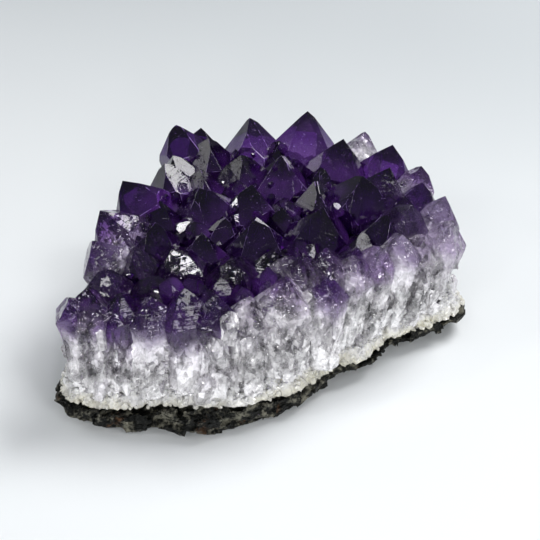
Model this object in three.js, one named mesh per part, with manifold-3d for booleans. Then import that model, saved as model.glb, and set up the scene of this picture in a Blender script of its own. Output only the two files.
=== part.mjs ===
// Amethyst cluster: a hand-sized piece broken from the lining of a geode. A thin rind of dark basalt carries a bed of
// milky quartz, and amethyst crystals stand on the bed. Each crystal is its own solid, with the flat faces and fixed
// angles of quartz. Where two crystals meet, the thicker one is whole and the thinner one is cut back from it.
// Units are millimetres, +Z is up, and the piece rests on z = 0.
import * as THREE from "three";
import { ConvexGeometry } from "three/addons/geometries/ConvexGeometry.js";
import { mergeVertices } from "three/addons/utils/BufferGeometryUtils.js";
import Module from "manifold-3d";

const wasm = await Module();
wasm.setup();

// ---- driving dimensions ----------------------------------------------------------------------------------------

const JOINT_GAP = 0.3; // left open between pieces that grew against each other
const RHOMB_SLOPE = THREE.MathUtils.degToRad(51.8); // a quartz point's faces, measured from the crystal's cross-section
const SHANK_TAPER = THREE.MathUtils.degToRad(1.5); // crystals widen as they grow away from the bed
const SHORT_SHANK = 25; // tip to foot of a crystal in the middle
const LONG_SHANK = 33; // tip to foot of a crystal on the broken edge
const GROWTH_DEPTH = 260; // crystals fan out from a point this far below the floor

const BED_TOP = 35; // the bed's upper face, between the crystals
const BED_SHOULDER = 31; // where the bed's wall turns into that face
const WALL_BATTER = 7; // the bed's wall leans in by this much from foot to shoulder
const COLUMN_COUNT = 34; // ribs round the wall
const COLUMN_DEPTH = 1.3;

const RIND_THICKNESS = 7;
const RIND_OVERHANG = 0.6; // how far the rind stands out past the bed
const FRONT_LUMPS = [[-45, -52], [-24, -53]]; // where it swells out further, under the front edge
const LUMP_REACH = 4;
const HIGH_EDGE = 4; // the rind's underside lifts this far off the floor at the thin edge
const REST_SHARE = 0.62; // inner share of the underside that lies flat on the floor

const RING_STEPS = 88; // steps round the outline

// The edge of the piece, seen from above: corners and turns of the broken slab, anticlockwise from the front corner.
const OUTLINE = [
  [-9, -51], [2, -46], [8, -43], [17, -34.5], [21, -30.5], [29.5, -28], [35, -21.5], [40, -14], [46.5, -11.5],
  [54.5, -7], [64, -1.5], [65, 9], [61, 23], [53, 40], [39, 53], [19, 62], [-4, 61], [-24, 60], [-37, 54],
  [-42, 40], [-47, 26], [-57, 8], [-62, -12], [-65, -30], [-66.5, -41.5], [-62, -45.5], [-56, -48.5],
  [-50, -50.5], [-33, -50.5], [-14.5, -52],
];

// ---- the crystals ----------------------------------------------------------------------------------------------

// Each row: [x, y, z] of the tip, half width of the six-sided shank, lean towards +X and +Y in degrees.
const CROWN = [
  // back row, against the skyline
  [[-33, 51, 51], 8.5, -12, 6], [[-24, 52, 49], 7, 4, 8], [[-21, 43, 50], 8.5, 2, 0], [[-7, 52, 53], 9.5, -4, 6],
  [[13, 53, 55], 11.5, 3, 8], [[25, 39, 52], 10, 6, 4], [[42, 42, 48], 9, 8, 6], [[3, 43, 49], 7, 0, -4],
  // upper middle
  [[-35, 26, 50], 8, -8, 4], [[-10, 32, 50], 8.5, -3, 0], [[4, 26, 53], 10.5, 2, -5], [[-23, 25, 48.5], 7, 2, 3],
  [[15, 15, 50], 7.5, -6, 2], [[30, 13, 53], 10.5, 4, -4], [[40, 26, 48.5], 8, 10, 2], [[17, 29, 47], 6.5, 4, 6],
  [[-33, 38, 46], 6.5, -8, 2],
  // lower middle
  [[-48, 15, 50], 9, -22, 6], [[-23, 9, 51], 9, -4, -6], [[-6, 11, 51], 8, 3, 3], [[-36, -6, 47.5], 8, 8, -4],
  [[-4, -7, 50], 9.5, 0, -3], [[17, -3, 51], 10, 2, -8], [[37, -4, 49], 7.5, 4, 0], [[-21, -12, 47.5], 7.5, 6, 4],
  [[-36, 9, 46.5], 6.5, 6, 4], [[4, 5, 46], 6, -6, 8], [[29, -9, 46], 6, -4, 4], [[-15, 1, 45.5], 6, 4, 4],
];
const RIM = [
  // left edge
  [[-54, 0, 48], 8.5, -26, -4], [[-55, -14, 46], 7.5, -8, 0], [[-50, -29, 45.5], 8.5, 6, 4],
  [[-59, -41, 44.5], 6, 6, 8], [[-42, -17, 45], 7, -4, 8], [[-36, -31, 44.5], 6.5, 4, 0],
  // front edge, left to right
  [[-54, -39, 46], 8.5, 10, 12], [[-44, -40, 45], 7, 12, 13], [[-35, -42, 45], 6.5, 8, 12],
  [[-30, -22, 48], 9.5, -6, -8], [[-25, -40, 46.5], 8, 6, 13], [[-12, -28, 48.5], 9, -2, -10],
  [[-16, -42, 46], 6.5, 6, 13], [[-6, -42, 45], 6, 4, 10], [[4, -38, 49], 8.5, 0, 6], [[9, -27, 49], 8.5, 2, -4],
  [[18, -32, 45.5], 6, 0, 4], [[17, -21, 48], 7, -8, 6], [[1, -18, 45.5], 6.5, 4, 6],
  // right edge
  [[26, -23, 46.5], 7, 0, 0], [[34, -19, 47], 6, 0, 0], [[41, -13, 47.5], 7.5, 0, -2], [[49, -9, 45], 6.5, 2, 0],
  [[45, 2, 49], 8, 4, 2], [[58, -1, 45], 7, 2, 0], [[57, 12, 46], 7.5, 4, 2], [[50, 18, 47.5], 6.5, 4, 8],
  [[51, 31, 46], 7.5, 8, 4], [[33, 51, 48], 7.5, 4, 6],
];

// A repeatable scatter from 0 to 1, different for each pair of whole numbers.
function scatter(index, salt) {
  const wave = Math.sin(index * 12.9898 + salt * 78.233) * 43758.5453;
  return wave - Math.floor(wave);
}

// The frame of a crystal: its axis from foot to tip, and two directions across it.
function crystalFrame([x, y], leanX, leanY, turn) {
  const axis = new THREE.Vector3(
    x / GROWTH_DEPTH + Math.tan(THREE.MathUtils.degToRad(leanX)),
    y / GROWTH_DEPTH + Math.tan(THREE.MathUtils.degToRad(leanY)),
    1,
  ).normalize();
  const across = new THREE.Vector3(Math.cos(turn), Math.sin(turn), 0).projectOnPlane(axis).normalize();
  return { axis, across, beside: new THREE.Vector3().crossVectors(axis, across) };
}

// The thirteen faces of a quartz crystal as planes that face outwards: six down the shank, six round the point in
// two sets of three, of which one set stands back and so is smaller, and the foot.
function crystalFaces(index, [tip, halfWidth, leanX, leanY], shank) {
  const turn = scatter(index, 1) * Math.PI;
  const { axis, across, beside } = crystalFrame(tip, leanX, leanY, turn);
  const apex = new THREE.Vector3(...tip);
  const faces = [];
  const addFace = (outward, from, distance) =>
    faces.push(new THREE.Plane(outward, -(outward.dot(from) + distance)));
  for (let side = 0; side < 6; side++) {
    const bearing = (side * Math.PI) / 3;
    const outward = across.clone().multiplyScalar(Math.cos(bearing)).addScaledVector(beside, Math.sin(bearing));
    const width = halfWidth * (0.9 + 0.2 * scatter(index, 10 + side));
    const shankFace = outward.clone().multiplyScalar(Math.cos(SHANK_TAPER))
      .addScaledVector(axis, -Math.sin(SHANK_TAPER));
    addFace(shankFace, apex.clone().addScaledVector(axis, -halfWidth), width);
    const pointFace = outward.clone().multiplyScalar(Math.sin(RHOMB_SLOPE))
      .addScaledVector(axis, Math.cos(RHOMB_SLOPE));
    const standsBack = side % 2 ? halfWidth * (0.04 + 0.22 * scatter(index, 20 + side)) : 0;
    addFace(pointFace, apex, standsBack);
  }
  addFace(axis.clone().negate(), apex.clone().addScaledVector(axis, -shank), 0);
  return faces;
}

// The convex body inside a set of faces, each moved out by grow: its corners are where three faces meet.
function bodyInside(faces, grow) {
  const planes = faces.map((face) => new THREE.Plane(face.normal, face.constant - grow));
  const corners = [];
  const [bc, ca, ab] = [new THREE.Vector3(), new THREE.Vector3(), new THREE.Vector3()];
  for (const [i, a] of planes.entries()) {
    for (const [j, b] of planes.slice(i + 1).entries()) {
      for (const c of planes.slice(i + j + 2)) {
        bc.crossVectors(b.normal, c.normal);
        ca.crossVectors(c.normal, a.normal);
        ab.crossVectors(a.normal, b.normal);
        const spread = a.normal.dot(bc);
        if (Math.abs(spread) < 1e-6) continue;
        const corner = bc.clone().multiplyScalar(-a.constant)
          .addScaledVector(ca, -b.constant)
          .addScaledVector(ab, -c.constant)
          .divideScalar(spread);
        const inside = planes.every((plane) => plane.distanceToPoint(corner) < 1e-5);
        const isNew = corners.every((other) => other.distanceTo(corner) > 1e-3);
        if (inside && isNew) corners.push(corner);
      }
    }
  }
  return solidOf(new ConvexGeometry(corners));
}

// ---- solids ----------------------------------------------------------------------------------------------------

function solidOf(geometry) {
  const bare = geometry.clone();
  bare.deleteAttribute("normal");
  bare.deleteAttribute("uv");
  const merged = mergeVertices(bare, 1e-4);
  return new wasm.Manifold(new wasm.Mesh({
    numProp: 3,
    vertProperties: new Float32Array(merged.attributes.position.array),
    triVerts: new Uint32Array(merged.index.array),
  }));
}

// The largest separate body of a solid, so that a cut leaves no loose chips.
function largestBody(solid) {
  return solid.decompose().reduce((a, b) => (b.volume() > a.volume() ? b : a));
}

function geometryOf(solid) {
  const { vertProperties, triVerts } = solid.getMesh();
  const geometry = new THREE.BufferGeometry();
  geometry.setAttribute("position", new THREE.BufferAttribute(vertProperties, 3));
  geometry.setIndex(new THREE.BufferAttribute(triVerts, 1));
  const faceted = geometry.toNonIndexed();
  faceted.computeVertexNormals();
  return faceted;
}

// ---- the bed and the rind --------------------------------------------------------------------------------------

const outlineCurve = new THREE.CatmullRomCurve3(
  OUTLINE.map(([x, y]) => new THREE.Vector3(x, y, 0)), true, "centripetal",
);
const outlinePoints = outlineCurve.getSpacedPoints(720)
  .map((point) => ({ bearing: Math.atan2(point.y, point.x), reach: Math.hypot(point.x, point.y) }))
  .sort((a, b) => a.bearing - b.bearing);

// Distance from the middle of the piece to its edge in one direction.
function edgeReach(bearing) {
  const nearest = outlinePoints.reduce((best, point) => {
    const apart = Math.abs(Math.atan2(Math.sin(point.bearing - bearing), Math.cos(point.bearing - bearing)));
    return apart < best.apart ? { apart, reach: point.reach } : best;
  }, { apart: Infinity, reach: 0 });
  return nearest.reach;
}

// Where the quartz meets the rind: thicker rock under the front left, thin along the right.
function seamHeight(x, y) {
  return RIND_THICKNESS + 2.4 * Math.exp(-((x + 20) ** 2 + (y + 50) ** 2) / 600)
    + 0.7 * Math.sin(x / 9 + 1) * Math.cos(y / 11);
}

// The underside: flat in the middle, lifting off the floor towards the right and back edges, with low knobs.
function undersideHeight(x, y, share) {
  if (share <= REST_SHARE) return 0;
  const towardsEdge = (share - REST_SHARE) / (1 - REST_SHARE);
  const lifted = HIGH_EDGE * THREE.MathUtils.smoothstep(x + 0.6 * y, -26, 16);
  const knobs = 0.9 * (1 + Math.sin(x / 5.5) * Math.cos(y / 6.5));
  return towardsEdge * (lifted + knobs);
}

// A closed body turned from a profile of [share of the reach, height as a function of place], bottom to top.
function slabBody(profile, inset) {
  const rings = profile.map(([share], level) => new THREE.Vector2(share, level));
  const turned = new THREE.LatheGeometry(rings, RING_STEPS).rotateX(Math.PI / 2);
  const places = turned.attributes.position;
  for (let i = 0; i < places.count; i++) {
    const level = Math.round(Math.abs(places.getZ(i)));
    const [share, height, ribbed] = profile[level];
    const bearing = Math.atan2(places.getY(i), places.getX(i));
    const rib = ribbed * COLUMN_DEPTH * (Math.abs(Math.sin((COLUMN_COUNT / 2) * bearing)) - 1);
    const reach = (edgeReach(bearing) - inset(level, bearing) + rib) * share;
    const x = reach * Math.cos(bearing);
    const y = reach * Math.sin(bearing);
    places.setXYZ(i, x, y, height(x, y, share));
  }
  return turned;
}

function quartzBed() {
  const foot = (x, y) => seamHeight(x, y) + JOINT_GAP;
  const wallAt = (part) => (x, y) => THREE.MathUtils.lerp(foot(x, y), BED_SHOULDER, part);
  const face = (x, y) => BED_TOP + 0.8 * Math.sin(x / 7) * Math.sin(y / 8);
  const profile = [
    [0, foot, 0], [0.45, foot, 0], [0.8, foot, 0], [1, foot, 1], [1, wallAt(0.25), 1], [1, wallAt(0.5), 1],
    [1, wallAt(0.75), 1], [0.99, wallAt(1), 1], [0.9, face, 0], [0.45, face, 0], [0, face, 0],
  ];
  const lean = (level) => WALL_BATTER * Math.sqrt(THREE.MathUtils.clamp((level - 3) / 4, 0, 1));
  return slabBody(profile, lean);
}

function basaltRind() {
  const profile = [
    [0, undersideHeight, 0], [0.35, undersideHeight, 0], [REST_SHARE, undersideHeight, 0],
    [0.8, undersideHeight, 0], [0.95, undersideHeight, 0],
    [1, (x, y) => THREE.MathUtils.lerp(undersideHeight(x, y, 1), seamHeight(x, y), 0.45), 0.3],
    [0.99, seamHeight, 0.5], [0.8, seamHeight, 0], [0.45, seamHeight, 0], [0, seamHeight, 0],
  ];
  const swell = (level, bearing) => {
    const lumps = FRONT_LUMPS.map(([x, y]) => Math.exp(-(((bearing - Math.atan2(y, x)) / 0.16) ** 2)));
    return -RIND_OVERHANG - LUMP_REACH * Math.max(...lumps);
  };
  return slabBody(profile, swell);
}

// ---- finishes --------------------------------------------------------------------------------------------------

const finishes = {
  amethyst: new THREE.MeshStandardMaterial({ color: 0x3b1d66, roughness: 0.12, metalness: 0 }),
  paleAmethyst: new THREE.MeshStandardMaterial({ color: 0x8f7fb0, roughness: 0.15, metalness: 0 }),
  quartz: new THREE.MeshStandardMaterial({ color: 0xd9d4dc, roughness: 0.4, metalness: 0 }),
  basalt: new THREE.MeshStandardMaterial({ color: 0x35392f, roughness: 0.85, metalness: 0 }),
};

function meshOf(name, solid, finish) {
  const mesh = new THREE.Mesh(geometryOf(solid), finish);
  mesh.name = name;
  return mesh;
}

// ---- the cluster -----------------------------------------------------------------------------------------------

const numbered = (group, name, shank, finish) =>
  group.map((crystal, i) => ({ name: `${name}_${String(i + 1).padStart(2, "0")}`, crystal, shank, finish }));
const crystals = [
  ...numbered(CROWN, "crown_crystal", SHORT_SHANK, finishes.amethyst),
  ...numbered(RIM, "rim_crystal", LONG_SHANK, finishes.paleAmethyst),
];
crystals.forEach((entry, i) => (entry.faces = crystalFaces(i, entry.crystal, entry.shank)));
crystals.sort((a, b) => b.crystal[1] - a.crystal[1]);

const cluster = new THREE.Group();
let bed = solidOf(quartzBed());
const grown = [];
for (const { name, faces, finish } of crystals) {
  let body = bodyInside(faces, 0);
  for (const neighbour of grown) body = body.subtract(neighbour);
  body = largestBody(body);
  grown.push(bodyInside(faces, JOINT_GAP));
  cluster.add(meshOf(name, body, finish));
}
for (const neighbour of grown) bed = bed.subtract(neighbour);
cluster.add(meshOf("quartz_bed", largestBody(bed), finishes.quartz));
cluster.add(meshOf("basalt_rind", solidOf(basaltRind()), finishes.basalt));

// The origin is the middle of the piece's box, on the floor.
const box = new THREE.Box3().setFromObject(cluster);
const middle = box.getCenter(new THREE.Vector3());
cluster.position.set(-middle.x, -middle.y, -box.min.z);

export default cluster;
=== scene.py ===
"""Amethyst cluster: the looks of the stone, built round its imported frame.

Each crystal of the frame becomes a quartz point with chipped edges, clean-faced in the crown and broken below
its tip in the rim. Small points fill the gaps between them, blades and grains of quartz cover the wall, and
the rind is rough rock. Lengths are in metres.
"""

import functools
import itertools
import math
import random

import bmesh
import bpy
import numpy as np
from bpy.props import FloatProperty, FloatVectorProperty, IntProperty, PointerProperty
from mathutils import Matrix, Vector


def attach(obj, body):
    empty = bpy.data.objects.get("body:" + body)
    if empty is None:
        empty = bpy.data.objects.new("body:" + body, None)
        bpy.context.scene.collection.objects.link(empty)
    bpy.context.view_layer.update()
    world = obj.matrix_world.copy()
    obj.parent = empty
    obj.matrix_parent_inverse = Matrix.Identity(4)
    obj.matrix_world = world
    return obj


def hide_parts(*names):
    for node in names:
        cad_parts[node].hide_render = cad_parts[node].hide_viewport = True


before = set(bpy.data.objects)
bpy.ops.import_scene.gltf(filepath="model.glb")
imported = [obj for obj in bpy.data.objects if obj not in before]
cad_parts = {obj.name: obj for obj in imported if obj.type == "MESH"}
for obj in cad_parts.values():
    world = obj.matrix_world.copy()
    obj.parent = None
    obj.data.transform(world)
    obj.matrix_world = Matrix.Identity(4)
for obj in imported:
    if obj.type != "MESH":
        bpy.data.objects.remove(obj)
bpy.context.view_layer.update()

bl_info = {
    "name": "Amethyst cluster",
    "version": (1, 0, 0),
    "blender": (4, 5, 0),
    "location": "3D View > Sidebar > Amethyst",
    "description": "Builds a hand-sized piece of amethyst geode lining",
    "category": "Add Mesh",
}

MM = 0.001
CROWN_NODES = sorted(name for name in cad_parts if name.startswith("crown_crystal"))
RIM_NODES = sorted(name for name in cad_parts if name.startswith("rim_crystal"))

# The angle between a tip face's normal and the crystal's axis, and how strongly quartz bends light.
RHOMB_SLOPE = math.radians(51.8)
QUARTZ_IOR = 1.545

# Distances below a crystal's tip over which it changes. An inner crystal of the rim is one far behind the
# wall, and its colours reach further down.
CROWN_DARK_TIP = (1 * MM, 10 * MM)
CROWN_GLASSY_TIP = (1 * MM, 12 * MM)
CROWN_TO_CLEAR = (15 * MM, 30 * MM)
RIM_DARK_TIP = (0, 7 * MM)
INNER_DARK_TIP = (-10 * MM, 2 * MM)
INNER_REACH = 9 * MM
RIM_TO_LILAC = (2 * MM, 16 * MM)
RIM_TO_CLEAR = (9 * MM, 27 * MM)
RIM_BREAKS = (4 * MM, 15 * MM)
RIM_GLASSY_TIP = (5 * MM, 23 * MM)
RIM_RELIEF = (8 * MM, 18 * MM)

# Heights above the floor over which the rind and the wall change.
RIND_RELIEF = (0.2 * MM, 1.4 * MM)
FOOT_CLEARS = (12 * MM, 24 * MM)
BED_CLEARS = (10 * MM, 20 * MM)
SEAM_TO_MILK = (7 * MM, 14 * MM)
MILK_TO_LILAC = (18 * MM, 32 * MM)
LILAC_TO_PURPLE = (31 * MM, 36 * MM)

# The broken facets of the rim, the bed and the rind, from coarse to fine. Each rim crystal's seed is one step
# on from the last one's.
RIM_FACETS = (
    {"Cell": 5.5 * MM, "Stretch": 2.6, "Depth": 2.0 * MM, "Slope": 1.5},
    {"Cell": 2.2 * MM, "Stretch": 1.3, "Depth": 0.5 * MM, "Slope": 1.8},
)
RIM_SEED_STEPS = (3.7, 1.3)
BED_FACETS = {"Stretch": 1.6, "Slope": 1.6, "Seed": 3.0}
FLAKES = {"Stretch": 0.5, "Slope": 1.3, "Seed": 9.0}
SMALL_FLAKES = {"Stretch": 0.7, "Slope": 1.6, "Seed": 2.0}

# Where the small crystals stand. The flank band lies below a crystal's tip, and the others above the floor.
GAP_FLOOR = 30 * MM
FLANK_BAND = (8 * MM, 16 * MM)
BLADE_BAND = (14 * MM, 22 * MM)
CRUMB_BAND = (10 * MM, 19 * MM)

# Distances behind the wall: the furthest for a blade, and those over which a rim crystal becomes an inner one.
NEAR_WALL = 5 * MM
INNER_CRYSTALS = (8 * MM, 14 * MM)
# Distances from the middle towards the front right edge, over which the rim's crystals turn pale.
PALE_EDGE = (36 * MM, 50 * MM)
# How far a rim crystal's colours move up towards its tip: further in front of a line across the stone.
RIM_FRONT = -22 * MM
RIM_SHIFT_LEAST, RIM_SHIFT_BACK, RIM_SHIFT_FRONT = -4 * MM, 1 * MM, 8 * MM
# How bright the rim's crystals are below their tips, from the dullest to the brightest.
RIM_TONES = (0.2, 1.0)

# The lamps: name, place, aim, width and height, and power in watts. The sparks are small lamps that make
# facets flash.
STONE_MIDDLE = (0, 0, 30 * MM)
LAMPS = (
    ("key", (0.43, 0.25, 0.72), (0, 0, 0), (0.50, 0.40), 6.2),
    ("left_window", (-0.66, 0.30, 0.50), STONE_MIDDLE, (0.40, 0.40), 0.9),
    ("right_window", (0.385, -0.493, 0.647), STONE_MIDDLE, (0.22, 0.22), 0.76),
    ("front_window", (-0.298, -0.611, 0.590), STONE_MIDDLE, (0.14, 0.14), 0.5),
)
SPARKS = (
    (-0.42, -0.80, 0.12), (-0.05, -0.90, 0.16), (0.28, -0.86, 0.10), (0.66, -0.60, 0.18),
    (-0.666, -0.27, 0.54), (-0.22, -0.85, 0.24), (0.12, -0.82, 0.36), (0.48, -0.74, 0.26),
)
SPARK_SIZE, SPARK_POWER = (0.11, 0.11), 0.78
FLOOR_HALF_WIDTH = 3.0
# The point that the camera looks at.
CAMERA_AIM = Vector((0.44, -3.755, 25.0)) * MM


# ---- sizes and colours ----


def length(name, description, default):
    return FloatProperty(name=name, description=description, default=default, unit="LENGTH",
                         subtype="DISTANCE", precision=5)


def angle(name, description, degrees):
    return FloatProperty(name=name, description=description, default=math.radians(degrees), unit="ROTATION",
                         subtype="ANGLE")


def colour(name, description, default):
    return FloatVectorProperty(name=name, description=description, default=default, size=3, min=0, max=1,
                               subtype="COLOR")


def seed(name, description, default):
    return IntProperty(name=name, description=description, default=default)


class CrystalSettings(bpy.types.PropertyGroup):
    """The large crystals of the crown and the rim."""

    # Each crystal edge is bevelled, and in the crown the bevel carries a painted highlight.
    edge_wear: length("Edge wear", "Width of the worn strip along each crystal edge", 0.00015)
    chips: IntProperty(name="Chips", description="Small corners broken off each crystal", default=7, min=0)
    chip_depth: length("Chip depth", "Deepest cut that a chip makes", 0.0009)
    turn: angle("Turn", "Furthest that a crown crystal turns on its axis", 12)
    crown_seed: seed("Crown seed", "Changes the crown's turns, chips and tones", 3100)
    rim_seed: seed("Rim seed", "Changes the rim's chips and colours", 300)
    tip_colour: colour("Tip colour", "Colour of a crown crystal's tip", (0.030, 0.004, 0.090))
    body_colour: colour("Body colour", "Colour of a crown crystal below its tip", (0.195, 0.055, 0.42))
    rim_tip_colour: colour("Rim tip colour", "Colour of a rim crystal's tip", (0.12, 0.030, 0.29))
    rim_body_colour: colour("Rim body colour", "Colour of a rim crystal below its tip", (0.41, 0.165, 0.68))
    # Painted highlight: the colour of the bevelled crown edges. The flecks and veils also take it.
    worn_colour: colour("Worn colour", "Colour of worn edges and flecks", (0.36, 0.23, 0.60))
    lilac_colour: colour("Lilac colour", "Colour between the purple and the clear", (0.88, 0.84, 0.915))
    clear_colour: colour("Clear colour", "Colour of the clear quartz at the foot", (0.95, 0.935, 0.955))


class DruseSettings(bpy.types.PropertyGroup):
    """The small crystals between the large ones."""

    spacing: length("Spacing", "Least distance between two small crystals", 0.0022)
    smallest: length("Smallest", "Half width of the smallest crystal", 0.0010)
    largest: length("Largest", "Half width of the largest crystal", 0.0040)
    flank_spacing: length("Flank spacing", "Least distance between two crystals on a flank", 0.0042)
    flank_smallest: length("Flank smallest", "Half width of the smallest crystal on a flank", 0.0006)
    flank_largest: length("Flank largest", "Half width of the largest crystal on a flank", 0.0016)
    lean: angle("Lean", "Furthest that a small crystal leans", 28)
    scatter_seed: seed("Seed", "Changes the scatter of small crystals", 4)


class WallSettings(bpy.types.PropertyGroup):
    """The milky quartz between the rind and the crystals."""

    grain: length("Mesh grain", "Face size on the bed", 0.0007)
    cell: length("Facet size", "Width of the broken facets in the wall", 0.0022)
    relief: length("Relief", "How far the broken facets stand in and out", 0.0010)
    blade_spacing: length("Blade spacing", "Least distance between two blades on the wall", 0.0070)
    blade_smallest: length("Smallest blade", "Half width of the smallest blade", 0.0008)
    blade_largest: length("Largest blade", "Half width of the largest blade", 0.0032)
    blade_stand: length("Blade stand", "How far the blades stand out of the wall", -0.0018)
    crumb_spacing: length("Crumb spacing", "Least distance between two grains at the wall's foot", 0.0013)
    crumb_smallest: length("Smallest crumb", "Half width of the smallest grain", 0.0005)
    crumb_largest: length("Largest crumb", "Half width of the largest grain", 0.0012)
    crumb_stand: length("Crumb stand", "How far the grains stand out of the wall", -0.0005)
    milk_colour: colour("Milky colour", "Colour of the bed", (0.86, 0.85, 0.88))
    high_colour: colour("High colour", "Colour of the bed just below the crystals", (0.72, 0.64, 0.81))
    seam_colour: colour("Seam colour", "Colour of the bed just above the rind", (0.84, 0.81, 0.69))
    scatter_seed: seed("Seed", "Changes the scatter of blades and grains", 11)


class RockSettings(bpy.types.PropertyGroup):
    """The rind of dark rock."""

    grain: length("Mesh grain", "Face size on the rind", 0.00055)
    cell: length("Flake size", "Width of the flakes in the broken rock", 0.0070)
    relief: length("Relief", "How far the flakes stand in and out", 0.0022)
    dark_colour: colour("Dark colour", "Colour of fresh rock", (0.002, 0.0025, 0.002))
    pale_colour: colour("Pale colour", "Colour of weathered rock", (0.17, 0.165, 0.13))
    rust_colour: colour("Rust colour", "Colour of the brown patches", (0.075, 0.040, 0.021))


class StageSettings(bpy.types.PropertyGroup):
    """The floor, the lights and the camera."""

    floor_colour: colour("Floor colour", "Colour of the floor", (0.83, 0.855, 0.87))
    # Painted shade: the floor darkens towards this colour at the back and the right.
    far_floor_colour: colour("Far floor colour", "Colour of the floor behind the stone", (0.58, 0.61, 0.63))
    sky_colour: colour("Sky colour", "Colour of the light from all round", (0.90, 0.95, 1.0))
    sky: FloatProperty(name="Sky", description="Strength of the light from all round", default=0.18, min=0)
    distance: length("Camera distance", "From the camera to the stone", 0.45)
    elevation: angle("Camera elevation", "How far the camera looks down", 35)
    lens: FloatProperty(name="Lens", description="Focal length of the camera in millimetres", default=91.8,
                        subtype="DISTANCE_CAMERA")


# ---- node helpers ----

# The colour sockets of the Mix node.
MIX_FACTOR, MIX_A, MIX_B, MIX_RESULT = 0, 6, 7, 2


def set_inputs(tree, made, inputs):
    """Links each input that is given a socket, and sets each one that is given a value."""
    for key, value in inputs.items():
        if isinstance(value, bpy.types.NodeSocket):
            tree.links.new(value, made.inputs[key])
        else:
            made.inputs[key].default_value = value


def node(tree, kind, inputs=None, **settings):
    """Adds a node with the given inputs and settings."""
    made = tree.nodes.new(kind)
    for name, value in settings.items():
        setattr(made, name, value)
    set_inputs(tree, made, inputs or {})
    return made


def maths(tree, operation, *values, clamp=False):
    made = node(tree, "ShaderNodeMath", dict(enumerate(values)), operation=operation, use_clamp=clamp)
    return made.outputs[0]


def total(tree, so_far, *values):
    """The sum of all the values."""
    for value in values:
        so_far = maths(tree, "ADD", so_far, value)
    return so_far


def vectors(tree, operation, *values):
    made = node(tree, "ShaderNodeVectorMath", dict(enumerate(values)), operation=operation)
    return made.outputs["Value" if operation == "DOT_PRODUCT" else "Vector"]


def scaled(tree, vector, amount):
    """A vector made longer or shorter."""
    return node(tree, "ShaderNodeVectorMath", {0: vector, "Scale": amount}, operation="SCALE").outputs[0]


def part_of(tree, vector, axis):
    """One of the X, Y and Z of a vector."""
    return node(tree, "ShaderNodeSeparateXYZ", {"Vector": vector}).outputs[axis]


def spread(tree, value, low, high, to_low=0.0, to_high=1.0):
    """Maps low..high to to_low..to_high smoothly, and holds outside."""
    made = node(tree, "ShaderNodeMapRange", {"Value": value, "From Min": low, "From Max": high,
                "To Min": to_low, "To Max": to_high}, interpolation_type="SMOOTHSTEP")
    return made.outputs["Result"]


def blend_colour(tree, factor, a, b):
    """Goes from colour a to colour b as the factor goes from 0 to 1."""
    a, b = (value if isinstance(value, bpy.types.NodeSocket) else (*value, 1) for value in (a, b))
    made = node(tree, "ShaderNodeMix", {MIX_FACTOR: factor, MIX_A: a, MIX_B: b}, data_type="RGBA")
    return made.outputs[MIX_RESULT]


# ---- finishes ----


def kept_finish(build, *settings):
    """The material that a finish builds, built the first time it is asked for and named after the finish."""
    return bpy.data.materials.get(build.__name__) or build(*settings)


def new_finish(name):
    """A material with its shader and its tree, ready for the finish's own nodes."""
    material = bpy.data.materials.new(name)
    material.use_nodes = True
    tree = material.node_tree
    shader = tree.nodes["Principled BSDF"]
    place = node(tree, "ShaderNodeTexCoord").outputs["Object"]
    return material, tree, shader, place


def attribute(tree, name):
    return node(tree, "ShaderNodeAttribute", attribute_name=name, attribute_type="GEOMETRY").outputs["Fac"]


def clouds(tree, place, scale, detail=3.0, roughness=0.55):
    made = node(tree, "ShaderNodeTexNoise", {"Vector": place, "Scale": scale, "Detail": detail,
                "Roughness": roughness})
    return made.outputs["Fac"]


def cells_at(tree, place, size, stretch=1.0):
    """Irregular cells of a given size, and the point at which each place samples them."""
    scale = (1 / size, 1 / size, 1 / (size * stretch))
    sample = node(tree, "ShaderNodeMapping", {"Vector": place, "Scale": scale}).outputs[0]
    return node(tree, "ShaderNodeTexVoronoi", {"Vector": sample, "Scale": 1.0}), sample


def cell_draw(tree, cells, channel):
    """A number from 0 to 1, drawn anew for each cell. There are three draws, one in each colour channel."""
    return node(tree, "ShaderNodeSeparateColor", {"Color": cells.outputs["Color"]}).outputs[channel]


def cell_value(tree, place, size, stretch, low, high):
    """A number between low and high that is the same all over each cell."""
    cells, _ = cells_at(tree, place, size, stretch)
    return spread(tree, cell_draw(tree, cells, "Blue"), 0.0, 1.0, low, high)


def facets(tree, place, size, slope, stretch=1.0):
    """A height in metres that tilts each cell like a small broken facet, by up to the slope."""
    cells, sample = cells_at(tree, place, size, stretch)
    away = vectors(tree, "SUBTRACT", sample, cells.outputs["Position"])
    tilt = vectors(tree, "SUBTRACT", cells.outputs["Color"], (0.5, 0.5, 0.5))
    return maths(tree, "MULTIPLY", vectors(tree, "DOT_PRODUCT", away, tilt), 2 * size * slope)


def growth_lines(tree, place, height):
    """Fine steps across a crystal, which catch the light as bars. They come in patches."""
    along = attribute(tree, "below_tip")
    steps = node(tree, "ShaderNodeTexNoise", {"W": along, "Scale": 1300.0, "Detail": 1.0},
                 noise_dimensions="1D").outputs["Fac"]
    patch = spread(tree, clouds(tree, place, scale=110.0, detail=1.0), 0.45, 0.60, to_high=height)
    return maths(tree, "MULTIPLY", steps, patch)


def bumps(tree, *heights):
    """The normal of a surface that rises by the sum of some heights in metres."""
    made = node(tree, "ShaderNodeBump", {"Height": total(tree, *heights), "Strength": 1.0, "Distance": 1.0})
    return made.outputs["Normal"]


def flecks(tree, place, size, share):
    """Small spots, one in each of the given share of the cells."""
    cells, _ = cells_at(tree, place, size)
    chosen = maths(tree, "LESS_THAN", cell_draw(tree, cells, "Green"), share)
    spot = spread(tree, cells.outputs["Distance"], 0.08, 0.22, to_low=1.0, to_high=0.0)
    return maths(tree, "MULTIPLY", chosen, spot)


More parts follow.
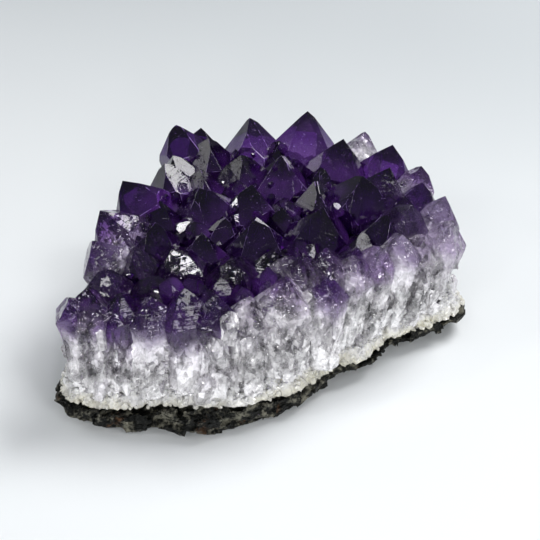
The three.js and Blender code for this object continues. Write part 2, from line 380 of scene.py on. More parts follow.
def drifting(tree, place, value, scale, reach):
    """Shifts a value up and down by clouds, so that nothing changes along a straight line."""
    swing = maths(tree, "SUBTRACT", clouds(tree, place, scale), 0.5)
    return maths(tree, "ADD", value, maths(tree, "MULTIPLY", swing, 2 * reach))


def deep_amethyst(settings):
    """Clear purple quartz, almost black at the tip and glowing below it, with a painted highlight along its
    edges.
    """
    material, tree, shader, place = new_finish("deep_amethyst")
    depth = drifting(tree, place, attribute(tree, "below_tip"), scale=130.0, reach=6 * MM)
    glow = maths(tree, "MULTIPLY", spread(tree, depth, *CROWN_DARK_TIP), attribute(tree, "tone"))
    base = blend_colour(tree, glow, settings.tip_colour, settings.body_colour)
    base = blend_colour(tree, spread(tree, depth, *CROWN_TO_CLEAR), base, settings.clear_colour)
    # Painted highlight: in patches, the bevelled edges take the pale colour and let less light through. The
    # flecks and veils do the same.
    highlight_patches = spread(tree, clouds(tree, place, scale=300.0, detail=4.0), 0.46, 0.60)
    worn = maths(tree, "MULTIPLY", attribute(tree, "worn"), highlight_patches)
    haze = clouds(tree, place, scale=300.0, detail=5.0, roughness=0.7)
    veil = spread(tree, haze, 0.58, 0.72, to_high=0.35)
    spots = flecks(tree, place, size=0.9 * MM, share=0.15)
    highlights_and_marks = maths(tree, "MAXIMUM", maths(tree, "MAXIMUM", worn, spots), veil)
    base = blend_colour(tree, highlights_and_marks, base, settings.worn_colour)
    glassy = spread(tree, depth, *CROWN_GLASSY_TIP, to_low=0.95, to_high=0.66)
    glassy = maths(tree, "SUBTRACT", glassy, maths(tree, "MULTIPLY", highlights_and_marks, 0.45))
    ripple = maths(tree, "MULTIPLY", clouds(tree, place, scale=700.0, detail=2.0), 0.03 * MM)
    normal = bumps(tree, growth_lines(tree, place, height=0.03 * MM),
                   facets(tree, place, size=3.2 * MM, slope=0.014), ripple)
    set_inputs(tree, shader, {"Base Color": base, "Transmission Weight": glassy, "Normal": normal,
               "Roughness": 0.07, "IOR": QUARTZ_IOR})
    return material


def fading_amethyst(settings):
    """Purple quartz that fades to clear and then to milky broken quartz, down towards the rind."""
    material, tree, shader, place = new_finish("fading_amethyst")
    tone, pale, deep = (attribute(tree, name) for name in ("tone", "pale", "deep"))
    depth = drifting(tree, place, attribute(tree, "below_tip"), scale=90.0, reach=7 * MM)
    depth = maths(tree, "SUBTRACT", depth, maths(tree, "MULTIPLY", deep, INNER_REACH))

    outer_glow = maths(tree, "MULTIPLY", spread(tree, depth, *RIM_DARK_TIP), tone)
    outer = blend_colour(tree, outer_glow, settings.rim_tip_colour, settings.rim_body_colour)
    inner_glow = maths(tree, "MULTIPLY", spread(tree, depth, *INNER_DARK_TIP), tone)
    inner = blend_colour(tree, inner_glow, settings.tip_colour, settings.body_colour)
    base = blend_colour(tree, deep, outer, inner)
    fade = maths(tree, "MAXIMUM", spread(tree, depth, *RIM_TO_LILAC), pale)
    base = blend_colour(tree, fade, base, settings.lilac_colour)
    base = blend_colour(tree, spread(tree, depth, *RIM_TO_CLEAR), base, settings.clear_colour)

    broken = maths(tree, "MAXIMUM", spread(tree, depth, *RIM_BREAKS, to_low=0.2), pale)
    outside = maths(tree, "SUBTRACT", 1.0, maths(tree, "MULTIPLY", deep, 0.85))
    rough = maths(tree, "MULTIPLY", broken, outside)
    normal = bumps(
        tree,
        maths(tree, "MULTIPLY", growth_lines(tree, place, height=0.40 * MM), outside),
        maths(tree, "MULTIPLY", rough, facets(tree, place, size=1.9 * MM, slope=0.85, stretch=1.9)),
        maths(tree, "MULTIPLY", rough, facets(tree, place, size=0.8 * MM, slope=0.45)))

    foot = spread(tree, part_of(tree, place, "Z"), *FOOT_CLEARS, to_low=0.22, to_high=0.45)
    tip = maths(tree, "MULTIPLY", spread(tree, depth, *RIM_GLASSY_TIP, to_low=0.90, to_high=0.0),
                maths(tree, "SUBTRACT", 1.0, maths(tree, "MULTIPLY", pale, 0.35)))
    streaked = vectors(tree, "MULTIPLY", place, (1.0, 1.0, 0.5))
    patches = total(
        tree,
        spread(tree, clouds(tree, streaked, scale=150.0, detail=2.0), 0.38, 0.62, to_low=-0.24, to_high=0.18),
        spread(tree, clouds(tree, place, scale=250.0, detail=4.0, roughness=0.65), 0.38, 0.62,
               to_low=-0.05, to_high=0.05),
        cell_value(tree, place, size=1.9 * MM, stretch=1.9, low=-0.15, high=0.22),
        cell_value(tree, place, size=0.8 * MM, stretch=1.5, low=-0.10, high=0.10),
        spread(tree, tone, *RIM_TONES, to_low=-0.17, to_high=0.19))
    glassy = maths(tree, "ADD", maths(tree, "MAXIMUM", tip, foot), maths(tree, "MULTIPLY", patches, broken),
                   clamp=True)
    set_inputs(tree, shader, {"Base Color": base, "Transmission Weight": glassy, "Normal": normal,
               "Roughness": 0.05, "Specular IOR Level": 0.9, "IOR": QUARTZ_IOR})
    return material


def milky_quartz(settings, purple):
    """Milky quartz: purple where it lies between the crystals, white down the wall, cream at the seam."""
    material, tree, shader, place = new_finish("milky_quartz")
    level = drifting(tree, place, part_of(tree, place, "Z"), scale=160.0, reach=5 * MM)
    base = blend_colour(tree, spread(tree, level, *SEAM_TO_MILK), settings.seam_colour, settings.milk_colour)
    base = blend_colour(tree, spread(tree, level, *MILK_TO_LILAC), base, settings.high_colour)
    base = blend_colour(tree, spread(tree, level, *LILAC_TO_PURPLE), base, purple)
    normal = bumps(tree, facets(tree, place, size=1.6 * MM, slope=0.75, stretch=1.9),
                   facets(tree, place, size=0.6 * MM, slope=0.4))
    glassy = maths(tree, "MULTIPLY", cell_value(tree, place, size=1.9 * MM, stretch=1.9, low=0.10, high=0.65),
                   spread(tree, level, *BED_CLEARS, to_low=0.25))
    set_inputs(tree, shader, {"Base Color": base, "Transmission Weight": glassy, "Normal": normal,
               "Roughness": 0.11, "IOR": QUARTZ_IOR, "Subsurface Weight": 0.5,
               "Subsurface Radius": (3 * MM, 3 * MM, 3.5 * MM), "Subsurface Scale": 1.0})
    return material


def weathered_rock(settings):
    """Dark rock with paler weathered patches and a little rust."""
    material, tree, shader, place = new_finish("weathered_rock")
    patches = spread(tree, clouds(tree, place, scale=260.0, detail=6.0, roughness=0.70), 0.49, 0.64)
    base = blend_colour(tree, patches, settings.dark_colour, settings.pale_colour)
    elsewhere = vectors(tree, "ADD", place, (3.0, 1.0, 2.0))
    rust = spread(tree, clouds(tree, elsewhere, scale=140.0, detail=4.0, roughness=0.6), 0.60, 0.72)
    base = blend_colour(tree, rust, base, settings.rust_colour)
    grit = maths(tree, "MULTIPLY", clouds(tree, place, scale=1400.0, detail=4.0, roughness=0.7), 0.3 * MM)
    normal = bumps(tree, facets(tree, place, size=1.3 * MM, slope=0.5, stretch=0.6), grit)
    set_inputs(tree, shader, {"Base Color": base, "Normal": normal, "Roughness": 0.38,
               "Specular IOR Level": 0.18})
    return material


def pale_floor(settings):
    """A matt floor with painted shade: it darkens a little towards the back and the right."""
    material, tree, shader, place = new_finish("pale_floor")
    away = vectors(tree, "DOT_PRODUCT", place, (0.5, 1.0, 0.0))
    base = blend_colour(tree, spread(tree, away, -0.03, 0.30), settings.floor_colour,
                        settings.far_floor_colour)
    set_inputs(tree, shader, {"Base Color": base, "Roughness": 0.9, "Specular IOR Level": 0.1})
    return material


# ---- mesh helpers ----


def as_object(name, data):
    made = bpy.data.objects.new(name, data)
    bpy.context.scene.collection.objects.link(made)
    return made


def from_bmesh(name, bm):
    mesh = bpy.data.meshes.new(name)
    bm.to_mesh(mesh)
    bm.free()
    return mesh


def merged_copy(name):
    """A frame node's mesh with its loose triangles joined."""
    bm = bmesh.new()
    bm.from_mesh(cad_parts[name].data)
    bmesh.ops.remove_doubles(bm, verts=bm.verts, dist=0.01 * MM)
    return bm


def ramp(value, start, full):
    """0 up to start, 1 from full on, and rising evenly between them."""
    return min(1.0, max(0.0, (value - start) / (full - start)))


def within(value, band):
    """Whether a value lies between the two ends of a band."""
    return band[0] < value < band[1]


def keep_values(mesh, name, values, domain="POINT"):
    """Keeps a number on each point or face of a mesh, for the trees and finishes to read."""
    layer = mesh.attributes.get(name) or mesh.attributes.new(name, "FLOAT", domain)
    layer.data.foreach_set("value", values)


def keep_value(mesh, name, value):
    """Keeps the same number on every point of a mesh."""
    keep_values(mesh, name, [value] * len(mesh.vertices))


def clean_crystal(name):
    """The whole-faced crystal round what its neighbours left of it."""
    bm = merged_copy(name)
    hull = bmesh.ops.convex_hull(bm, input=bm.verts)
    bmesh.ops.delete(bm, geom=hull["geom_interior"] + hull["geom_unused"], context="VERTS")
    outer = {face for face in hull["geom"] if isinstance(face, bmesh.types.BMFace)}
    bmesh.ops.delete(bm, geom=[face for face in bm.faces if face not in outer], context="FACES")
    bmesh.ops.dissolve_limit(bm, angle_limit=math.radians(3), verts=bm.verts, edges=bm.edges)
    bmesh.ops.recalc_face_normals(bm, faces=bm.faces)
    return bm


def growth_axis(bm):
    """The tip, and the direction from foot to tip: the shank's faces all lie along it."""
    tip = max(bm.verts, key=lambda vert: vert.co.z)
    around = sum((face.normal for face in tip.link_faces), Vector()).normalized()
    shank = [face for face in bm.faces if abs(face.normal.dot(around)) < 0.35]
    if len(shank) < 2:
        return tip.co.copy(), around
    scatter = sum(face.calc_area() * np.outer(face.normal, face.normal) for face in shank)
    axis = Vector(np.linalg.eigh(scatter)[1][:, 0])
    return tip.co.copy(), axis if axis.z > 0 else -axis


def depths_below(tip, axis, mesh):
    """How far each point of a mesh lies below a crystal's tip, along its axis."""
    return [(tip - vert.co).dot(axis) for vert in mesh.vertices]


def shift_depths(mesh, shift):
    """Moves the colours of small crystals up towards their tips."""
    layer = mesh.attributes["below_tip"].data
    depths = np.empty(len(layer), np.float32)
    layer.foreach_get("value", depths)
    layer.foreach_set("value", depths + shift)


def chip_edges(bm, settings, rng):
    """Breaks small corners off a crystal, with flat cuts that each lean a little to one side."""
    for _ in range(settings.chips):
        edge = rng.choice([edge for edge in bm.edges if edge.is_manifold])
        outward = sum((face.normal for face in edge.link_faces), Vector()).normalized()
        lean = 0.35 * Vector([rng.uniform(-1, 1) for _ in range(3)])
        outward = (outward + lean).normalized()
        support = max(vert.co.dot(outward) for vert in bm.verts)
        depth = settings.chip_depth * rng.uniform(0.15, 1) ** 2
        cut = bmesh.ops.bisect_plane(
            bm, geom=bm.verts[:] + bm.edges[:] + bm.faces[:], plane_co=outward * (support - depth),
            plane_no=outward, clear_outer=True)
        rim = [item for item in cut["geom_cut"] if isinstance(item, bmesh.types.BMEdge)]
        if rim:
            bmesh.ops.contextual_create(bm, geom=rim)
    bmesh.ops.delete(bm, geom=[edge for edge in bm.edges if not edge.link_faces], context="EDGES")
    bmesh.ops.recalc_face_normals(bm, faces=bm.faces)


def applied(piece):
    """Turns a piece's modifiers into plain mesh."""
    depsgraph = bpy.context.evaluated_depsgraph_get()
    mesh = bpy.data.meshes.new_from_object(piece.evaluated_get(depsgraph))
    piece.modifiers.clear()
    old, piece.data = piece.data, mesh
    bpy.data.meshes.remove(old)
    mesh.name = piece.name


def remeshed(piece, mode, **settings):
    """Gives a piece an even mesh, fine enough to carry broken facets."""
    remesh = piece.modifiers.new("Grain", "REMESH")
    remesh.mode = mode
    for name, value in settings.items():
        setattr(remesh, name, value)
    applied(piece)


def settle(piece, node_names, finish):
    """Gives a finished piece its finish and its place in the frame."""
    if not piece.data.polygons:
        raise RuntimeError(f"{piece.name} has no faces")
    piece.data.materials.clear()
    piece.data.materials.append(finish)
    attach(piece, "root")
    if node_names:
        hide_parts(*node_names)


def quartz_point(slenderness, shape_seed):
    """A small six-sided crystal of half width 1 with its foot at the origin, as the body inside its faces."""
    rng = random.Random(shape_seed)
    planes = [(Vector((0, 0, -1)), 0.0)]
    for side in range(6):
        bearing = side * math.pi / 3
        outward = Vector((math.cos(bearing), math.sin(bearing), 0))
        planes.append((outward, rng.uniform(0.78, 1.05)))
        sloping = Vector((outward.x * math.sin(RHOMB_SLOPE), outward.y * math.sin(RHOMB_SLOPE),
                          math.cos(RHOMB_SLOPE)))
        setback = rng.uniform(0.05, 0.3) if side % 2 else 0
        planes.append((sloping, slenderness * math.cos(RHOMB_SLOPE) + setback))
    corners = []
    for trio in itertools.combinations(planes, 3):
        rows = Matrix([normal for normal, _ in trio])
        if abs(rows.determinant()) < 1e-4:
            continue
        corner = rows.inverted() @ Vector([offset for _, offset in trio])
        if all(normal.dot(corner) <= offset + 1e-5 for normal, offset in planes):
            corners.append(corner)
    bm = bmesh.new()
    for corner in corners:
        bm.verts.new(corner)
    bmesh.ops.remove_doubles(bm, verts=bm.verts, dist=1e-4)
    bmesh.ops.convex_hull(bm, input=bm.verts)
    bmesh.ops.dissolve_limit(bm, angle_limit=math.radians(1), verts=bm.verts, edges=bm.edges)
    bmesh.ops.recalc_face_normals(bm, faces=bm.faces)
    mesh = from_bmesh("small_point", bm)
    keep_values(mesh, "below_tip", [slenderness - vert.co.z for vert in mesh.vertices])
    return as_object("small_point", mesh)


# ---- geometry trees ----


def new_geometry_tree(name, inputs):
    """A tree that takes and gives geometry, with inputs of the given labels, kinds and defaults."""
    tree = bpy.data.node_groups.new(name, "GeometryNodeTree")
    tree.interface.new_socket("Geometry", in_out="INPUT", socket_type="NodeSocketGeometry")
    for label, kind, default in inputs:
        socket = tree.interface.new_socket(label, in_out="INPUT", socket_type="NodeSocket" + kind)
        if default is not None:
            socket.default_value = default
    tree.interface.new_socket("Geometry", in_out="OUTPUT", socket_type="NodeSocketGeometry")
    return tree, tree.nodes.new("NodeGroupInput").outputs


def finish_tree(tree, geometry, material):
    """Ends a tree: its copies become plain mesh, and the mesh takes the material."""
    realized = node(tree, "GeometryNodeRealizeInstances", {"Geometry": geometry}).outputs[0]
    painted = node(tree, "GeometryNodeSetMaterial", {"Geometry": realized, "Material": material}).outputs[0]
    node(tree, "NodeGroupOutput", {0: painted})
    return tree


def run_tree(piece, tree, values):
    """Runs a geometry tree on a piece with the given input values, and keeps the result as plain mesh."""
    modifier = piece.modifiers.new(tree.name, "NODES")
    modifier.node_group = tree
    for socket in tree.interface.items_tree:
        if socket.in_out == "INPUT" and socket.name in values:
            modifier[socket.identifier] = values[socket.name]
    applied(piece)


def together(tree, x, y, z):
    """The vector with the given X, Y and Z."""
    return node(tree, "ShaderNodeCombineXYZ", {"X": x, "Y": y, "Z": z}).outputs[0]


def kept_number(tree, name):
    """The number that each point keeps under a name."""
    return node(tree, "GeometryNodeInputNamedAttribute", {"Name": name}, data_type="FLOAT").outputs[0]


def keep_number(tree, geometry, name, value, domain):
    """The geometry with a number kept under a name."""
    return node(tree, "GeometryNodeStoreNamedAttribute", {"Geometry": geometry, "Name": name, "Value": value},
                domain=domain, data_type="FLOAT").outputs[0]


def random_value(tree, kind, inputs):
    """A value drawn at random for each crystal."""
    return node(tree, "FunctionNodeRandomValue", inputs, data_type=kind).outputs["Value"]


def facet_tree():
    """Breaks a surface into flat facets that tilt at random, as deep as the point attribute "relief" says."""
    tree, given = new_geometry_tree("Broken facets", [
        ("Cell", "Float", 3 * MM), ("Stretch", "Float", 1.0), ("Depth", "Float", 1 * MM),
        ("Slope", "Float", 0.5), ("Seed", "Float", 0.0), ("Material", "Material", None)])
    place = node(tree, "GeometryNodeInputPosition").outputs[0]
    squeeze = together(tree, 1.0, 1.0, maths(tree, "DIVIDE", 1.0, given["Stretch"]))
    per_cell = maths(tree, "DIVIDE", 1.0, given["Cell"])
    sample = vectors(tree, "ADD", scaled(tree, vectors(tree, "MULTIPLY", place, squeeze), per_cell),
                     together(tree, given["Seed"], given["Seed"], given["Seed"]))
    cells = node(tree, "ShaderNodeTexVoronoi", {"Vector": sample, "Scale": 1.0})
    away = vectors(tree, "SUBTRACT", sample, cells.outputs["Position"])
    tilt = vectors(tree, "SUBTRACT", cells.outputs["Color"], (0.5, 0.5, 0.5))
    lean = maths(tree, "MULTIPLY", vectors(tree, "DOT_PRODUCT", away, tilt), given["Slope"])
    level = node(tree, "ShaderNodeTexWhiteNoise", {"Vector": cells.outputs["Position"]},
                 noise_dimensions="3D").outputs["Value"]
    # More of the facets lie in than stand out, so the surface hardly grows.
    height = maths(tree, "ADD", lean, maths(tree, "SUBTRACT", level, 0.62))
    push = maths(tree, "MULTIPLY", maths(tree, "MULTIPLY", height, given["Depth"]),
                 kept_number(tree, "relief"))
    normal = node(tree, "GeometryNodeInputNormal").outputs[0]
    moved = node(tree, "GeometryNodeSetPosition", {"Geometry": given["Geometry"],
                 "Offset": scaled(tree, normal, push)}).outputs[0]
    return finish_tree(tree, moved, given["Material"])


def scatter_tree():
    """Stands small crystals on a surface. They point between straight up and out of the surface."""
    tree, given = new_geometry_tree("Scattered crystals", [
        ("Crystal", "Object", None), ("Spacing", "Float", 3 * MM), ("Smallest", "Float", 1 * MM),
        ("Largest", "Float", 3 * MM), ("Lean", "Float", 0.4), ("Outward", "Float", 0.2),
        ("Sink", "Float", 1 * MM), ("Seed", "Int", 0), ("Material", "Material", None)])
    dots = node(tree, "GeometryNodeDistributePointsOnFaces", {"Mesh": given["Geometry"],
                "Distance Min": given["Spacing"], "Density Max": 400000.0, "Seed": given["Seed"]},
                distribute_method="POISSON")
    heading = vectors(tree, "ADD", scaled(tree, dots.outputs["Normal"], given["Outward"]), (0.0, 0.0, 1.0))
    wobble = random_value(tree, "FLOAT_VECTOR", {"Min": (-1.0, -1.0, 0.0), "Max": (1.0, 1.0, 0.0),
                          "Seed": given["Seed"]})
    swayed = vectors(tree, "ADD", heading, scaled(tree, wobble, maths(tree, "TANGENT", given["Lean"])))
    upright = node(tree, "FunctionNodeAlignRotationToVector", {"Vector": swayed}, axis="Z").outputs[0]
    index = node(tree, "GeometryNodeInputIndex").outputs[0]
    spin = random_value(tree, "FLOAT", {"Max": 2 * math.pi, "Seed": given["Seed"], "ID": index})
    spun = node(tree, "FunctionNodeAxisAngleToRotation", {"Axis": (0.0, 0.0, 1.0), "Angle": spin}).outputs[0]
    turned = node(tree, "FunctionNodeRotateRotation", {"Rotation": upright, "Rotate By": spun},
                  rotation_space="LOCAL").outputs[0]
    size = random_value(tree, "FLOAT", {"Min": given["Smallest"], "Max": given["Largest"], "Seed": 77})
    shape = node(tree, "GeometryNodeObjectInfo", {"Object": given["Crystal"]}).outputs["Geometry"]
    placed = node(tree, "GeometryNodeInstanceOnPoints", {"Points": dots.outputs["Points"], "Instance": shape,
                  "Rotation": turned, "Scale": size}).outputs[0]
    down = together(tree, 0.0, 0.0, maths(tree, "MULTIPLY", given["Sink"], -1.0))
    sunk = node(tree, "GeometryNodeTranslateInstances", {"Instances": placed, "Translation": down,
                "Local Space": False}).outputs[0]
    sized = keep_number(tree, sunk, "size", size, "INSTANCE")
    realized = node(tree, "GeometryNodeRealizeInstances", {"Geometry": sized}).outputs[0]
    depth = maths(tree, "MULTIPLY", kept_number(tree, "below_tip"), kept_number(tree, "size"))
    return finish_tree(tree, keep_number(tree, realized, "below_tip", depth, "POINT"), given["Material"])


# ---- pieces ----


def grow_crown(settings, finish):
    """Clean dark points, each turned a little on its axis, chipped, and bevelled along their edges for a
    painted highlight.
    """
    for count, name in enumerate(CROWN_NODES):
        rng = random.Random(settings.crown_seed + count)
        bm = clean_crystal(name)
        tip, axis = growth_axis(bm)
        turn = Matrix.Rotation(rng.uniform(-settings.turn, settings.turn), 3, axis)
        bmesh.ops.rotate(bm, cent=tip, matrix=turn, verts=bm.verts)
        chip_edges(bm, settings, rng)
        # The bevel faces are marked, and the finish paints a highlight on them.
        worn = bm.faces.layers.float.new("worn")
        bevelling = bmesh.ops.bevel(bm, geom=bm.edges[:], offset=settings.edge_wear, segments=1, affect="EDGES",
                               clamp_overlap=True)
        for face in bevelling["faces"]:
            face[worn] = 1.0
        mesh = from_bmesh(name.replace("crystal", "point"), bm)
        keep_values(mesh, "below_tip", depths_below(tip, axis, mesh))
        tone = rng.uniform(0.1, 0.8)
        keep_values(mesh, "tone", [tone + rng.uniform(-0.3, 0.4) for _ in mesh.polygons], "FACE")
        settle(as_object(mesh.name, mesh), [name], finish)


def towards_front_right(place):
    """How far a place lies from the middle of the stone towards its front right edge."""
    return 0.8 * place.x - 0.6 * place.y


def paleness(tip):
    """The crystals lose their colour towards the front right edge."""
    return min(0.9, ramp(towards_front_right(tip), *PALE_EDGE))


def outward(place):
    """The level direction from the middle of the stone to a place."""
    return Vector((*place.xy, 0)).normalized()


def outwardness(face):
    """1 where a face looks straight away from the middle of the stone, -1 where it looks towards it."""
    return face.normal.dot(outward(face.calc_center_median()))


@functools.cache
def wall_places():
    """Places all along the edge of the rind, below the wall."""
    rind = merged_copy("basalt_rind")
    places = [face.calc_center_median().xy for face in rind.faces
              if abs(face.normal.z) < 0.7 and outwardness(face) > 0.3]
    rind.free()
    return places


def behind_wall(place):
    """How far a place is from the nearest part of the wall."""
    return min((wall - place.xy).length for wall in wall_places())


def grow_rim(settings, finish):
    """Tall crystals whose shanks break into long facets. Those behind the wall are as dark as the crown."""
    tree = facet_tree()
    for count, name in enumerate(RIM_NODES):
        rng = random.Random(settings.rim_seed + count)
        bm = clean_crystal(name)
        tip, axis = growth_axis(bm)
        chip_edges(bm, settings, rng)
        mesh = from_bmesh(name.replace("crystal", "point"), bm)
        piece = as_object(mesh.name, mesh)
        remeshed(piece, "SHARP", octree_depth=6, scale=0.99, use_remove_disconnected=False)
        relief = [ramp(depth, *RIM_RELIEF) for depth in depths_below(tip, axis, piece.data)]
        keep_values(piece.data, "relief", relief)
        for broken, step in zip(RIM_FACETS, RIM_SEED_STEPS):
            run_tree(piece, tree, {**broken, "Seed": count * step, "Material": finish})
        deep = ramp(behind_wall(tip), *INNER_CRYSTALS) * (1 - paleness(tip))
        reach = RIM_SHIFT_FRONT if towards_front_right(tip) > RIM_FRONT else RIM_SHIFT_BACK
        shift = rng.uniform(RIM_SHIFT_LEAST, reach) * (1 - deep)
        depths = [depth + shift for depth in depths_below(tip, axis, piece.data)]
        keep_values(piece.data, "below_tip", depths)
        keep_value(piece.data, "pale", paleness(tip) * rng.uniform(0.6, 1.0))
        keep_value(piece.data, "tone", rng.uniform(*RIM_TONES))
        keep_value(piece.data, "deep", deep)
        settle(piece, [name], finish)


def surface_of(node_names, name, keep, stand=0.0):
    """The faces of frame nodes for which keep is true, as a mesh to stand crystals on.

    keep is asked about each face and the height of the node's top. The mesh can stand further out from the
    middle of the stone, or less far.
    """
    whole = bmesh.new()
    for node_name in node_names:
        bm = merged_copy(node_name)
        top = max(vert.co.z for vert in bm.verts)
        bmesh.ops.delete(bm, geom=[face for face in bm.faces if not keep(face, top)], context="FACES")
        part = from_bmesh(node_name + "_part", bm)
        whole.from_mesh(part)
        bpy.data.meshes.remove(part)
    for vert in whole.verts:
        vert.co += stand * outward(vert.co)
    return as_object(name, from_bmesh(name, whole))


def scatter_points(piece, slenderness, shape_seed, values):
    """Covers a surface with copies of one small crystal, which take its place."""
    crystal = quartz_point(slenderness, shape_seed)
    run_tree(piece, scatter_tree(), {**values, "Crystal": crystal})
    bpy.data.objects.remove(crystal)


def grow_druse(settings, finish):
    """Small points fill the gaps in the crown, and smaller ones sit on the flanks of its crystals."""

    def in_gap(face, top):
        return face.normal.z > 0.6 and face.calc_center_median().z > GAP_FLOOR

    def on_flank(face, top):
        below_top = top - face.calc_center_median().z
        return within(below_top, FLANK_BAND) and outwardness(face) < 0.1 and face.normal.z > -0.2

    floor = surface_of(["quartz_bed"], "druse", in_gap)
    flanks = surface_of(CROWN_NODES, "flank_druse", on_flank)
    for piece, spacing, smallest, largest, splay in (
            (floor, settings.spacing, settings.smallest, settings.largest, 0.2),
            (flanks, settings.flank_spacing, settings.flank_smallest, settings.flank_largest, 0.4)):
        scatter_points(piece, slenderness=3.0, shape_seed=5, values={
            "Spacing": spacing, "Smallest": smallest, "Largest": largest, "Lean": settings.lean,
            "Outward": splay, "Sink": 0.5 * MM, "Seed": settings.scatter_seed, "Material": finish})
        shift_depths(piece.data, 4 * MM)
        keep_value(piece.data, "tone", 0.8)
        settle(piece, [], finish)


def grow_bed(settings, finish):
    """The milky quartz that the crystals stand on, broken into facets all over."""
    piece = as_object("milky_bed", from_bmesh("milky_bed", merged_copy("quartz_bed")))
    remeshed(piece, "VOXEL", voxel_size=settings.grain)
    keep_value(piece.data, "relief", 1.0)
    run_tree(piece, facet_tree(), {**BED_FACETS, "Cell": settings.cell, "Depth": settings.relief,
                                   "Material": finish})
    settle(piece, ["quartz_bed"], finish)


def grow_crumbs(settings, finish):
    """Sugary grains over the foot of the wall."""

    def at_foot(face, top):
        return outwardness(face) > 0.2 and within(face.calc_center_median().z, CRUMB_BAND)

    piece = surface_of(["quartz_bed", *RIM_NODES], "wall_crumbs", at_foot, settings.crumb_stand)
    scatter_points(piece, slenderness=1.6, shape_seed=21, values={
        "Spacing": settings.crumb_spacing, "Smallest": settings.crumb_smallest,
        "Largest": settings.crumb_largest, "Lean": 0.8, "Outward": 1.5, "Sink": 0.4 * MM,
        "Seed": settings.scatter_seed, "Material": finish})
    settle(piece, [], finish)


def grow_blades(settings, finish):
    """Broken crystals that stand in the wall, milky and almost without colour."""

    def in_wall(face, top):
        middle = face.calc_center_median()
        return outwardness(face) > 0.4 and within(middle.z, BLADE_BAND) and behind_wall(middle) < NEAR_WALL

    piece = surface_of(["quartz_bed", *RIM_NODES], "wall_blades", in_wall, settings.blade_stand)
    scatter_points(piece, slenderness=4.2, shape_seed=9, values={
        "Spacing": settings.blade_spacing, "Smallest": settings.blade_smallest,
        "Largest": settings.blade_largest, "Lean": 0.28, "Outward": -0.05, "Sink": 3.0 * MM,
        "Seed": settings.scatter_seed, "Material": finish})
    shift_depths(piece.data, 14 * MM)
    keep_value(piece.data, "pale", 1.0)
    keep_value(piece.data, "tone", 1.0)
    settle(piece, [], finish)


def break_rind(settings, finish):
    """Rough rock, with large flakes broken into small ones. Its underside stays flat."""
    piece = as_object("rock_rind", from_bmesh("rock_rind", merged_copy("basalt_rind")))
    remeshed(piece, "VOXEL", voxel_size=settings.grain)
    relief = [ramp(vert.co.z, *RIND_RELIEF) for vert in piece.data.vertices]
    keep_values(piece.data, "relief", relief)
    tree = facet_tree()
    run_tree(piece, tree, {**FLAKES, "Cell": settings.cell, "Depth": settings.relief, "Material": finish})
    run_tree(piece, tree, {**SMALL_FLAKES, "Cell": settings.cell / 3, "Depth": settings.relief / 4,
                           "Material": finish})
    settle(piece, ["basalt_rind"], finish)


# ---- stage ----


def soft_light(name, place, aim, size, power):
    lamp = bpy.data.lights.new(name, "AREA")
    lamp.shape = "RECTANGLE"
    lamp.size, lamp.size_y = size
    lamp.energy = power
    made = as_object(name, lamp)
    made.location = place
    made.rotation_euler = (Vector(aim) - Vector(place)).to_track_quat("-Z", "Y").to_euler()


def lay_floor(settings):
    bm = bmesh.new()
    bmesh.ops.create_grid(bm, x_segments=1, y_segments=1, size=FLOOR_HALF_WIDTH)
    floor = as_object("floor", from_bmesh("floor", bm))
    floor.data.materials.append(kept_finish(pale_floor, settings))


def light_room(settings):
    world = bpy.data.worlds.new("Soft room")
    world.use_nodes = True
    sky = world.node_tree.nodes["Background"]
    sky.inputs["Color"].default_value = (*settings.sky_colour, 1)
    sky.inputs["Strength"].default_value = settings.sky
    bpy.context.scene.world = world
    for name, place, aim, size, power in LAMPS:
        soft_light(name, place, aim, size, power)
    for count, place in enumerate(SPARKS):
        soft_light(f"spark_{count}", place, STONE_MIDDLE, SPARK_SIZE, SPARK_POWER)


def place_camera(settings):
    camera = bpy.data.cameras.new("camera")
    camera.lens = settings.lens
    camera.sensor_width = 36
    made = as_object("camera", camera)
    back = Vector((0, -math.cos(settings.elevation), math.sin(settings.elevation)))
    made.location = CAMERA_AIM + settings.distance * back
    made.rotation_euler = (math.pi / 2 - settings.elevation, 0, 0)
    bpy.context.scene.camera = made


def set_stage(settings):
    lay_floor(settings)
    light_room(settings)
    place_camera(settings)
    bpy.context.scene.view_settings.view_transform = "Standard"


# ---- operators ----


class AMETHYST_OT_crown(bpy.types.Operator):
    """Grow the purple crystals of the upper face"""

    bl_idname = "amethyst.crown"
    bl_label = "Crown crystals"

    def execute(self, context):
        settings = context.scene.amethyst_crystals
        grow_crown(settings, kept_finish(deep_amethyst, settings))
        return {"FINISHED"}


class AMETHYST_OT_rim(bpy.types.Operator):
    """Grow the tall crystals of the broken edge"""

    bl_idname = "amethyst.rim"
    bl_label = "Rim crystals"

    def execute(self, context):
        settings = context.scene.amethyst_crystals
        grow_rim(settings, kept_finish(fading_amethyst, settings))
        return {"FINISHED"}


class AMETHYST_OT_druse(bpy.types.Operator):
    """Fill the gaps with small crystals"""

    bl_idname = "amethyst.druse"
    bl_label = "Small crystals"

    def execute(self, context):
        grow_druse(context.scene.amethyst_druse, kept_finish(deep_amethyst, context.scene.amethyst_crystals))
        return {"FINISHED"}


def wall_finish(scene):
    return kept_finish(milky_quartz, scene.amethyst_wall, scene.amethyst_crystals.body_colour)


class AMETHYST_OT_bed(bpy.types.Operator):
    """Build the milky quartz under the crystals"""

    bl_idname = "amethyst.bed"
    bl_label = "Quartz bed"

    def execute(self, context):
        grow_bed(context.scene.amethyst_wall, wall_finish(context.scene))
        return {"FINISHED"}


class AMETHYST_OT_crumbs(bpy.types.Operator):
    """Scatter sugary grains over the foot of the wall"""

    bl_idname = "amethyst.crumbs"
    bl_label = "Wall grains"

    def execute(self, context):
        grow_crumbs(context.scene.amethyst_wall, wall_finish(context.scene))
        return {"FINISHED"}


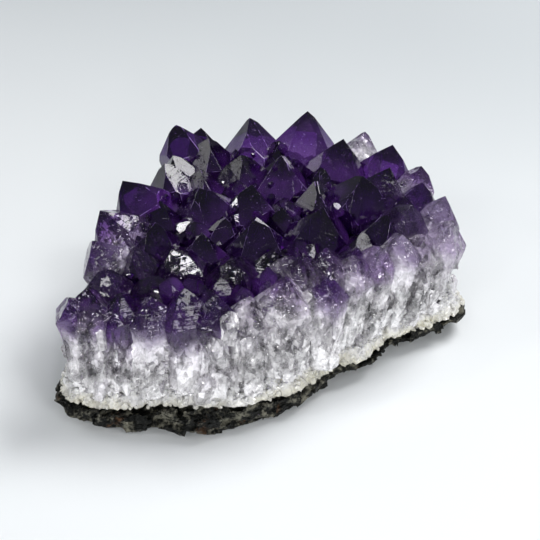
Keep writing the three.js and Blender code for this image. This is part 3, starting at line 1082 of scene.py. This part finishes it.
class AMETHYST_OT_blades(bpy.types.Operator):
    """Stand broken crystals in the wall"""

    bl_idname = "amethyst.blades"
    bl_label = "Wall blades"

    def execute(self, context):
        scene = context.scene
        grow_blades(scene.amethyst_wall, kept_finish(fading_amethyst, scene.amethyst_crystals))
        return {"FINISHED"}


class AMETHYST_OT_rind(bpy.types.Operator):
    """Break the rind of dark rock"""

    bl_idname = "amethyst.rind"
    bl_label = "Rock rind"

    def execute(self, context):
        settings = context.scene.amethyst_rock
        break_rind(settings, kept_finish(weathered_rock, settings))
        return {"FINISHED"}


class AMETHYST_OT_stage(bpy.types.Operator):
    """Set the floor, the lights and the camera"""

    bl_idname = "amethyst.stage"
    bl_label = "Stage"

    def execute(self, context):
        set_stage(context.scene.amethyst_stage)
        return {"FINISHED"}


class AMETHYST_PT_panel(bpy.types.Panel):
    """Lists the pieces of the cluster and their sizes"""

    bl_idname = "AMETHYST_PT_panel"
    bl_label = "Amethyst cluster"
    bl_space_type = "VIEW_3D"
    bl_region_type = "UI"
    bl_category = "Amethyst"

    def draw(self, context):
        for group, operators in STEPS.items():
            box = self.layout.box()
            for operator in operators:
                box.operator(operator)
            settings = getattr(context.scene, group)
            for name in settings.__annotations__:
                box.prop(settings, name)


STEPS = {
    "amethyst_crystals": ("amethyst.crown", "amethyst.rim"),
    "amethyst_druse": ("amethyst.druse",),
    "amethyst_wall": ("amethyst.bed", "amethyst.crumbs", "amethyst.blades"),
    "amethyst_rock": ("amethyst.rind",),
    "amethyst_stage": ("amethyst.stage",),
}
GROUPS = {
    "amethyst_crystals": CrystalSettings,
    "amethyst_druse": DruseSettings,
    "amethyst_wall": WallSettings,
    "amethyst_rock": RockSettings,
    "amethyst_stage": StageSettings,
}
CLASSES = (
    *GROUPS.values(), AMETHYST_OT_crown, AMETHYST_OT_rim, AMETHYST_OT_druse, AMETHYST_OT_bed,
    AMETHYST_OT_crumbs, AMETHYST_OT_blades, AMETHYST_OT_rind, AMETHYST_OT_stage, AMETHYST_PT_panel,
)


def register():
    for entry in CLASSES:
        bpy.utils.register_class(entry)
    for name, group in GROUPS.items():
        setattr(bpy.types.Scene, name, PointerProperty(type=group))


def unregister():
    for name in GROUPS:
        delattr(bpy.types.Scene, name)
    for entry in reversed(CLASSES):
        bpy.utils.unregister_class(entry)


def main():
    register()
    bpy.ops.amethyst.crown()
    bpy.ops.amethyst.rim()
    bpy.ops.amethyst.druse()
    bpy.ops.amethyst.bed()
    bpy.ops.amethyst.crumbs()
    bpy.ops.amethyst.blades()
    bpy.ops.amethyst.rind()
    bpy.ops.amethyst.stage()


if __name__ == "__main__":
    main()
